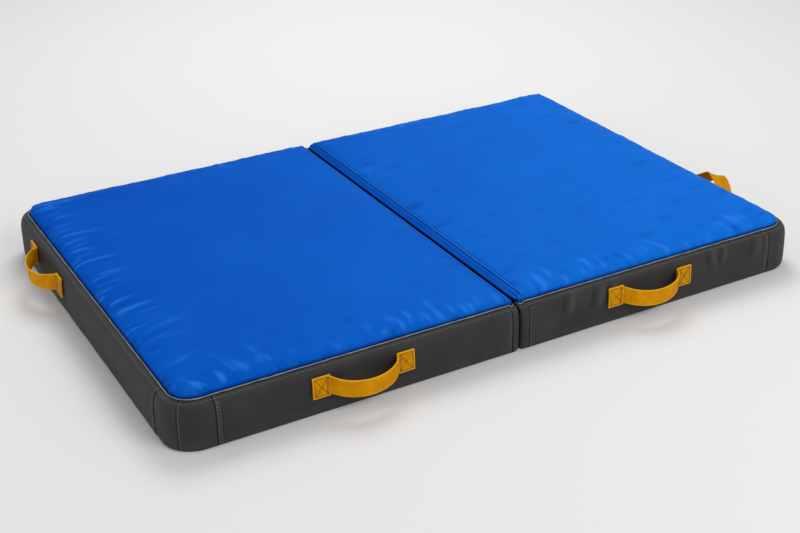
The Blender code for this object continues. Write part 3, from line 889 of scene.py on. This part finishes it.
# From the middle of one hinge corner's turn, round the three outer sides, to the middle of the other's
turn_steps = np.arange(6) * 0.1
stations = np.concatenate([12.5 + turn_steps[:5], ring_stations(13, 24, 0.004)[:-1], 24 + turn_steps])
for label, side in SIDES.items():
    flat = ring_place(stations)
    facing = ring_outward(stations)
    uneven = waves(flat, 80 + side, 0.05)
    flat = flat + facing * (BINDING_OUT + 0.00015 * waves(flat, 82 + side, 0.03))[:, None]
    height = SEAM_HEIGHT - BINDING_BELOW_SEAM + 0.0002 * uneven - hinge_dip(flat)
    path = np.column_stack([flat * (side, 1), height]) + MIDDLE
    outward = np.column_stack([facing * (side, 1), np.zeros(len(facing))])
    upward = np.tile((0.0, 0.0, 1.0), (len(facing), 1))
    out = outward * math.cos(BINDING_LEAN) - upward * math.sin(BINDING_LEAN)
    up = outward * math.sin(BINDING_LEAN) + upward * math.cos(BINDING_LEAN)
    piece = cloth_mesh(
        f"{label}_edge_binding",
        carried(section, path, out, up),
        np.stack(np.broadcast_arrays(run_of(path)[:, None], run_of(section)[None]), -1),
        binding_tape.material,
        mirrored=side > 0,
        closed=True,
    )
    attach(piece, f"{label}_panel")
    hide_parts(f"{label}_top_welt")

# The hinge strip: blue landing fabric lapped on both faces in the groove and tucked down between the
# hinge walls in one deep fold. It is the only thing that joins the panels.

STRIP_REACH = PANEL_HALF_DEPTH - 0.012
STRIP_THICKNESS = 0.0012
# It bends where it leaves the two faces
# Share across the strip, from one lap to its fold, and how far out and how high it lies there
STRIP_SIDE = (
    (0.0, -0.0094, 0.1062),
    (0.04, -0.0078, 0.1042),
    (0.10, -0.0050, 0.1028),
    (0.16, -0.0036, 0.1000),
    (0.30, -0.0026, 0.0900),
    (0.44, -0.0011, 0.0805),
    (0.50, 0.0, 0.0785),
)
other_side = [(1 - share, -x, z) for share, x, z in STRIP_SIDE[-2::-1]]
shares, outs, heights = zip(*STRIP_SIDE, *other_side)
share, y = np.meshgrid(np.linspace(0, 1, 51), np.linspace(-STRIP_REACH, STRIP_REACH, 220))
flat = np.stack([share * 0.05, y], -1)
slack = np.sin(math.pi * share)
gathers = 0.0007 * waves(flat, 92, 0.05) + 0.0004 * waves(flat * (0.2, 1), 93, 0.012)
x = through(*zip(shares, outs))(share) + 0.0005 * slack * waves(flat, 91, 0.06)
z = through(*zip(shares, heights))(share) + slack * gathers
from_fold = np.abs(2 * share - 1)
strip = cloth_mesh(
    "hinge_strip_fabric",
    np.stack([x, y, z], -1) + MIDDLE,
    # The cut map is nought over the middle of the strip and the fold map is 1 there, so that the landing
    # finish paints it with shade, almost black, down in the groove.
    np.stack([0.0050 * np.clip((from_fold - 0.62) / 0.38, 0, 1), y], -1),
    face_fabric.material,
    fold=np.stack([np.zeros_like(share), np.clip((0.80 - from_fold) / 0.14, 0, 1)], -1),
)
apply(strip, "SOLIDIFY", thickness=STRIP_THICKNESS, offset=0)
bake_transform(strip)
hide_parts("hinge_strip")

# The stitching: rows of thick grey thread just below the top seams, and in pairs beside every lap seam.
# Each stitch is a short rounded piece of thread, half sunk in the fabric.

TOPSTITCH_SHARE = 0.974
LAP_GAPS = (0.0042, 0.0092)
LAP_STITCH_SHARES = np.linspace(0.03, 0.94, 40)


def model_stitch():
    """One stitch along X, 1 long and 1 wide, narrowing to both ends."""
    bpy.ops.object.select_all(action="DESELECT")
    bpy.ops.mesh.primitive_uv_sphere_add(segments=6, ring_count=5, radius=0.5)
    bpy.ops.object.mode_set(mode="EDIT")
    bpy.ops.mesh.select_all(action="SELECT")
    quarter = {"value": math.pi / 2, "orient_axis": "Y", "orient_type": "GLOBAL"}
    bpy.ops.transform.rotate(**quarter, center_override=(0, 0, 0))
    bpy.ops.object.mode_set(mode="OBJECT")
    model = bpy.context.object
    points = points_of(model.data)
    faces = [list(face.vertices) for face in model.data.polygons]
    bpy.data.objects.remove(model, do_unlink=True)
    return points, faces


STITCH_POINTS, STITCH_FACES = model_stitch()


def unit(ways):
    """Directions, each made 1 long."""
    return ways / np.maximum(np.linalg.norm(ways, axis=1, keepdims=True), 1e-9)


def part_way(path, steps, at):
    """Points of a path at runs along it, where steps are the runs of its own points."""
    return np.stack([np.interp(at, steps, path[:, i]) for i in range(3)], -1)


def sewn(name, rows, material, length, width, pitch):
    """Stitches along rows. A row is a path and the direction out of the fabric at each point."""
    places, faces = [], []
    local = STITCH_POINTS * (length, width, width * 0.8)
    for path, outward in rows:
        steps = run_of(path)
        count = max(int(steps[-1] / pitch), 1)
        middles = (np.arange(count) + 0.5) * steps[-1] / count
        start, end = (part_way(path, steps, middles + shift) for shift in (-length / 2, length / 2))
        heading = unit(end - start)
        out = part_way(outward, steps, middles)
        out = unit(out - heading * (out * heading).sum(1, keepdims=True))
        beside = np.cross(out, heading)
        for middle, *ways in zip((start + end) / 2, heading, beside, out):
            first = len(places) * len(STITCH_POINTS)
            places.append(middle + local @ np.array(ways))
            faces.extend([[first + i for i in face] for face in STITCH_FACES])
    mesh = bpy.data.meshes.new(name)
    mesh.from_pydata(np.concatenate(places).tolist(), [], faces)
    mesh.materials.append(material)
    mesh.shade_smooth()
    piece = bpy.data.objects.new(name, mesh)
    scene.collection.objects.link(piece)
    return piece


def thread_finish(name, light, dark):
    """Thread of two plies, light on its turns and dark between them."""
    thread = Finish(name, Roughness=0.55)
    place = thread.node("SeparateXYZ", values={0: thread.place()})
    ply = (place + place.beside("Y") * 0.7 + place.beside("Z") * 1.3) * (2 * math.pi / 0.0009)
    twist = ply.maths("SINE") * 0.5 + 0.5
    colour = thread.mixed(twist * thread.mottle(0.03), dark, light)
    return thread.wear(colour, 0.5 + 0.15 * twist, twist * 0.00005)


def wall_row(label, run, where, share, lift, upward):
    """A row of stitches on a wall, which face out of it and by a share upwards."""
    place, _ = wall_place(label, run, where, share, lift)
    facing = ring_outward(where, 0.5) * (SIDES[label], 1)
    return place, np.column_stack([facing, np.full(len(where), upward)])


wall_thread = thread_finish("wall_thread_twist", (0.330, 0.322, 0.308), (0.140, 0.136, 0.130))
for label in SIDES:
    rows = []
    for run, (first, last) in RUNS.items():
        where = np.clip(ring_stations(first, last, WALL_PITCH), first + RUN_END, last - RUN_END)
        share = np.full(len(where), TOPSTITCH_SHARE)
        rows.append(wall_row(label, run, where, share, 0.00015, 0.8))
        if run in STRAIGHT_RUNS:
            span = np.linalg.norm(ring_place(last - RUN_END, 1.0) - ring_place(first, 1.0))
            for gap in LAP_GAPS:
                for seam_at in (first + gap / span, last - gap / span):
                    where = np.full(len(LAP_STITCH_SHARES), seam_at)
                    rows.append(wall_row(label, run, where, LAP_STITCH_SHARES, 0.0002, 0.0))
    piece = sewn(f"{label}_wall_topstitch", rows, wall_thread, 0.0036, 0.0010, 0.0068)
    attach(piece, f"{label}_panel")

# The handles: yellow-orange webbing, 38 mm wide, with a thicker selvedge along both edges. Each end is
# sewn flat to the wall under a square patch of the same webbing, with a box and a cross of brown
# thread, and leaves the patch to bend out into the loop.

HANDLE_SPAN = 0.145
LOOP_OUT = 0.042
HANDLE_HEIGHT = 0.06222
PIVOT_OUT = 0.015
STRAP_WIDTH = 0.038
STRAP_THICKNESS = 0.0025
STRAP_RUN = 0.016
PATCH_WIDTH = 0.037
PATCH_HEIGHT = 0.0435
PATCH_THICKNESS = 0.003
# Layers of webbing lie this far off the wall and off each other
LAYER_GAP = 0.0003
HALF_SPAN = HANDLE_SPAN / 2 - STRAP_RUN
STRAP_OUT = LAYER_GAP + STRAP_THICKNESS / 2
PATCH_OUT = 2 * LAYER_GAP + STRAP_THICKNESS + PATCH_THICKNESS / 2
# Turn about the loop's middle at which the strap passes from its sewn end to the loop
ROOT_TURN = math.acos(2 * HALF_SPAN / HANDLE_SPAN)
# How far each point of the sewn end lies from the seam at the patch
TAB = np.array([0.032, 0.027, 0.022, 0.016, 0.010, 0.006, 0.0035, 0.0018])
# Each handle: label, panel, point on the wall, way out and the names of its two ends. Then its attitude:
# how far it is raised, how much further its middle is, how much of that its face turns, how far it
# reaches out, how far it leans along the wall for each metre that it stands out, how much it is pinched
# in there, and the twist of its first limb.
HANDLES = (
    ("front_left", "left", (-0.3615, -0.5), (0, -1), ("left", "right"), -10, -3, 0.35, LOOP_OUT, 0, 0, 0),
    ("front_right", "right", (0.3255, -0.5), (0, -1), ("left", "right"), -10, -3, 0.35, LOOP_OUT, 0, 0, 0),
    ("left_end", "left", (-0.75, 0.235), (-1, 0), ("back", "front"), -10, 0, 0.6, LOOP_OUT, 0, 0, 0),
    ("right_end", "right", (0.75, -0.190), (1, 0), ("front", "back"), 40, 20, 0.75, 0.052, -0.1, 0.5, 60),
)


def webbing_finish(name, half_along, half_up, rim, rim_wear_and_highlight):
    """Ribbed webbing. Its rims are painted lighter where they stand proud: partly wear, partly a painted
    highlight.
    """
    webbing = Finish(name, Specular_IOR_Level=0.04)
    along, up = webbing.chart("cut")
    rib = webbing.woven(along + up, up - along, 0.0030)
    fine = webbing.woven(along, up, 0.0010)
    faded_and_painted_light = webbing.mottle(0.02, 4.0)
    edge = webbing.between(up.maths("ABSOLUTE"), half_up - rim, half_up - rim * 0.6)
    if half_along:
        sides = webbing.between(along.maths("ABSOLUTE"), half_along - rim, half_along - rim * 0.6)
        edge = edge.most(sides)
    tone = webbing.between(faded_and_painted_light + 0.10 * rib + 0.06 * fine, 0.25, 0.75)
    body = webbing.mixed(tone, (0.580, 0.225, 0.0006), (0.740, 0.325, 0.0015))
    # The rims are painted lighter: wear together with a painted highlight.
    colour = webbing.mixed(edge * rim_wear_and_highlight, body, (0.900, 0.500, 0.012))
    return webbing.wear(colour, 0.50 + 0.15 * faded_and_painted_light, rib * 0.00012 + fine * 0.00006)


strap_webbing = webbing_finish("strap_webbing", 0, STRAP_WIDTH / 2, 0.0024, 0.65)
patch_webbing = webbing_finish("patch_webbing", PATCH_WIDTH / 2, PATCH_HEIGHT / 2, 0.0018, 0.5)
brown_thread = thread_finish("brown_thread_twist", (0.070, 0.024, 0.003), (0.020, 0.007, 0.001))


def wall_fall(up):
    """How far the wall lies behind its belly at a height above the handle's middle."""
    return BELLY * (1 - swell_at((HANDLE_HEIGHT + up) / WALL_TOP))


def strap_section():
    """Out and up of the webbing's section, from its lower edge up its face and down its back."""
    up = np.array([-0.0190, -0.0187, -0.0178, -0.0165, -0.0155, -0.013, -0.0065, 0.0])
    half = np.array([0.0005, 0.0009, 0.00125, 0.00125, 0.00100, 0.00095, 0.00095, 0.00095])
    face = np.stack([np.append(half, half[-2::-1]), np.append(up, -up[-2::-1])], -1)
    return np.concatenate([face, face[::-1] * (-1, 1)])


SECTION = strap_section()


def to_wall(points, wall_point, outward):
    """From a handle's own places, along, out and up, to the pad's."""
    turn = math.atan2(-outward[0], outward[1])
    cosine, sine = math.cos(turn), math.sin(turn)
    x, y, z = points[..., 0], points[..., 1], points[..., 2]
    place = np.stack([cosine * x - sine * y, sine * x + cosine * y, z], -1)
    return place + np.array([*wall_point, HANDLE_HEIGHT]) + MIDDLE


def strap_rows(raised, further, face_share, reach, lean, pinched, twist):
    """The whole strap, from the tab under one patch to the tab under the other, with its flat cut.
    It leaves the seam sharply, bends out into the loop, and is turned up about its pivot line.
    """
    tab = HANDLE_SPAN / 2 + TAB
    sewn_down = np.zeros(len(tab))
    turn = np.linspace(0, math.pi, 97)
    turn = np.sort(np.concatenate([turn, [ROOT_TURN, math.pi - ROOT_TURN]]))
    along = np.concatenate([tab, HANDLE_SPAN / 2 * np.cos(turn), -tab[::-1]])
    bulge = (reach - STRAP_OUT) * np.clip(np.sin(turn), 0, 1) ** 1.2
    out = np.concatenate([sewn_down, bulge, sewn_down])
    turn = np.concatenate([sewn_down, turn, sewn_down + math.pi])
    along = along * (1 - pinched * out / (reach - STRAP_OUT)) + lean * out
    path = np.column_stack([along, STRAP_OUT + out])
    for _ in range(2):
        path[1:-1] = (path[:-2] + 2 * path[1:-1] + path[2:]) / 4
    length = run_of(path)
    heading = unit(np.gradient(path, axis=0))
    near = np.clip(np.minimum(turn, math.pi - turn) / ROOT_TURN, 0, 1)
    middle = np.clip(1 - ((turn - math.pi / 2) / (math.pi / 2 - ROOT_TURN)) ** 2, 0, 1)
    eased = near * near * (3 - 2 * near)
    lift = np.radians(raised * eased + further * middle)
    first_limb = np.clip((math.pi - 0.9 - turn) / 1.4, 0, 1)
    face_lift = lift * face_share + math.radians(twist) * eased * first_limb**2 * (3 - 2 * first_limb)
    past = path[:, 1] - PIVOT_OUT
    centre = np.column_stack([path[:, 0], PIVOT_OUT + past * np.cos(lift), past * np.sin(lift)])
    cosine, sine = np.cos(face_lift), np.sin(face_lift)
    facing = np.column_stack([heading[:, 1], -heading[:, 0] * cosine, -heading[:, 0] * sine])
    points = carried(SECTION, centre, facing, np.column_stack([0 * sine, -sine, cosine]))
    points[..., 1] -= ((1 - near) ** 2)[:, None] * wall_fall(SECTION[:, 1])
    cut = np.stack(np.broadcast_arrays((length - length[-1] / 2)[:, None], SECTION[None, :, 1]), -1)
    roots = np.flatnonzero(np.isclose(turn, ROOT_TURN) | np.isclose(turn, math.pi - ROOT_TURN))
    return points, cut, roots


def outwards(piece):
    """Faces of a closed piece turned outwards."""
    choose(piece)
    bpy.ops.object.mode_set(mode="EDIT")
    bpy.ops.mesh.select_all(action="SELECT")
    bpy.ops.mesh.normals_make_consistent(inside=False)
    bpy.ops.object.mode_set(mode="OBJECT")


def model_patch():
    """A square of webbing with its edges turned under, which makes them stand proud."""
    bpy.ops.object.select_all(action="DESELECT")
    bpy.ops.mesh.primitive_cube_add(size=1)
    patch = bpy.context.object
    patch.name = "patch_model"
    patch.data.transform(Matrix.Diagonal((PATCH_WIDTH, PATCH_THICKNESS, PATCH_HEIGHT, 1)))
    bpy.ops.object.mode_set(mode="EDIT")
    bpy.ops.mesh.select_all(action="DESELECT")
    bpy.ops.object.mode_set(mode="OBJECT")
    for face in patch.data.polygons:
        face.select = face.normal.y > 0.9
    bpy.ops.object.mode_set(mode="EDIT")
    bpy.ops.mesh.inset(thickness=0.0012, depth=0.0)
    bpy.ops.mesh.inset(thickness=0.0016, depth=0.0)
    bpy.ops.mesh.inset(thickness=0.0006, depth=-0.0005)
    bpy.ops.mesh.select_all(action="SELECT")
    bpy.ops.mesh.subdivide(number_cuts=7)
    bpy.ops.object.mode_set(mode="OBJECT")
    apply(patch, "BEVEL", width=0.0006, segments=2, limit_method="ANGLE", angle_limit=0.6)
    patch.data.shade_smooth()
    return patch


patch_model = model_patch()
model_points = points_of(patch_model.data)
# The stitches: a box round the patch, a cross in it and one more row across the end at the loop
BOX_X = PATCH_WIDTH / 2 - 0.0040
BOX_Z = PATCH_HEIGHT / 2 - 0.0038
INNER_ROW = 0.0034
THREAD_SUNK = 0.0004
for label, panel_name, wall_point, outward, ends, *attitude in HANDLES:
    body, loop_body = f"{panel_name}_panel", f"{label}_loop"
    points, cut, (first_root, last_root) = strap_rows(*attitude)
    loop = cloth_mesh(
        f"{label}_handle_loop_webbing",
        to_wall(points[first_root : last_root + 1], wall_point, outward),
        cut[first_root : last_root + 1],
        strap_webbing,
        closed=True,
    )
    outwards(loop)
    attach(loop, loop_body)
    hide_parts(f"{label}_handle_loop")
    rows = []
    for end, hand, part in zip(ends, (1, -1), (slice(0, first_root + 1), slice(last_root, None))):
        strap = cloth_mesh(
            f"{label}_handle_{end}_strap_end_webbing",
            to_wall(points[part], wall_point, outward),
            cut[part],
            strap_webbing,
            closed=True,
        )
        outwards(strap)
        bent = np.array([[hand * HANDLE_SPAN / 2, 0.0015, 0], [hand * HALF_SPAN, PIVOT_OUT, 0]])
        bend_start, bend_end = to_wall(bent, wall_point, outward)
        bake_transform(strap)
        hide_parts(f"{label}_handle_{end}_strap_end")

        patch = patch_model.copy()
        patch.data = patch_model.data.copy()
        patch.name = patch.data.name = f"{label}_handle_{end}_patch_webbing"
        scene.collection.objects.link(patch)
        local = model_points.copy()
        chart = patch.data.uv_layers[0]
        chart.name = "cut"
        used = np.array([corner.vertex_index for corner in patch.data.loops])
        chart.uv.foreach_set("vector", local[used][:, [0, 2]].astype(np.float32).ravel())
        patch_x = hand * (HANDLE_SPAN + PATCH_WIDTH) / 2
        local[:, 0] += patch_x
        local[:, 1] += PATCH_OUT - wall_fall(local[:, 2])
        patch.data.vertices.foreach_set("co", to_wall(local, wall_point, outward).ravel())
        patch.data.materials.clear()
        patch.data.materials.append(patch_webbing)
        patch.data.update()
        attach(patch, body)
        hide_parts(f"{label}_handle_{end}_patch")

        inner = hand * (INNER_ROW - BOX_X)
        for x0, z0, x1, z1 in (
            (-BOX_X, -BOX_Z, BOX_X, -BOX_Z),
            (BOX_X, -BOX_Z, BOX_X, BOX_Z),
            (BOX_X, BOX_Z, -BOX_X, BOX_Z),
            (-BOX_X, BOX_Z, -BOX_X, -BOX_Z),
            (-BOX_X, -BOX_Z, BOX_X, BOX_Z),
            (BOX_X, -BOX_Z, -BOX_X, BOX_Z),
            (inner, -BOX_Z, inner, BOX_Z),
        ):
            x = np.linspace(x0, x1, 12) + patch_x
            z = np.linspace(z0, z1, 12)
            y = PATCH_OUT + PATCH_THICKNESS / 2 - THREAD_SUNK - wall_fall(z)
            path = to_wall(np.stack([x, y, z], -1), wall_point, outward)
            rows.append((path, np.tile((*outward, 0.0), (len(path), 1))))
    thread = sewn(f"{label}_handle_cross_stitches", rows, brown_thread, 0.0034, 0.0015, 0.0038)
    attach(thread, body)
bpy.data.objects.remove(patch_model, do_unlink=True)
